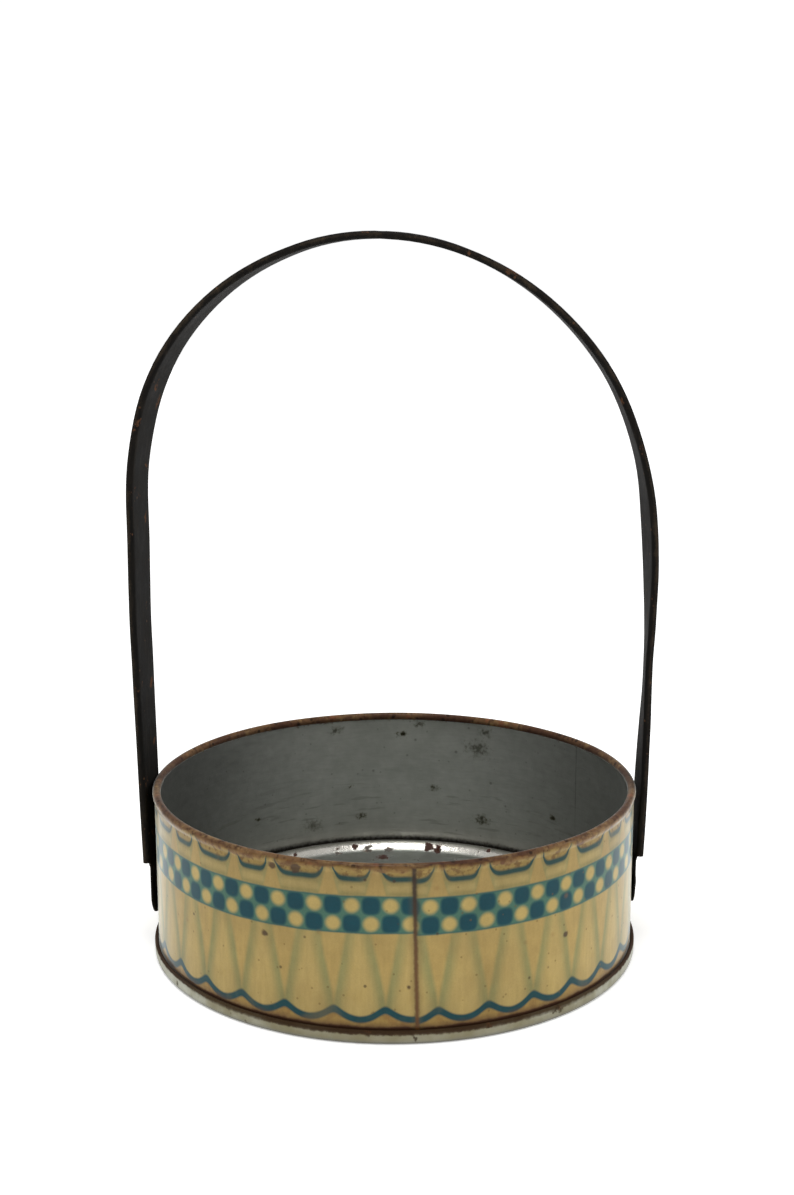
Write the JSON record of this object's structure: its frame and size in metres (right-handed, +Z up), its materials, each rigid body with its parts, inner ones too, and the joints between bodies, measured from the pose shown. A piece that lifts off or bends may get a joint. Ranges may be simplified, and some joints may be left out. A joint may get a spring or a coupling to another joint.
{
  "type": "tinplate easter basket",
  "caption": "Small round basket of printed tinplate with a curled rim, a double-seamed base and a tall folded strap handle that swings on rivets.",
  "frame": {"origin": "middle of the ring that the basket stands on, at table height", "axes": "+Z up; X runs through the two rivets that the handle swings on; -Y is the side that faces the viewer"},
  "size_m": [0.1158, 0.109, 0.1592],
  "materials": {
    "printed_tin": "aged lithographed print on tinplate, satin varnish outside, bare grey tin inside",
    "bare_tin": "bare tinplate, bright on the raised bead, dull and rust-stained elsewhere",
    "black_japan": "worn near-black paint, satin, brownish where it is thin"
  },
  "bodies": {
    "basket": {"body_wall": "printed_tin", "base_pan": "bare_tin", "rivet_left": "black_japan", "rivet_right": "black_japan"},
    "handle": {"handle_strap": "black_japan"}
  },
  "joints": [
    {"name": "handle_swing", "type": "hinge", "parent": "basket", "child": "handle", "pos_m": [0, 0, 0.0135], "axis": [1, 0, 0], "range_deg": [-90, 90]}
  ]
}
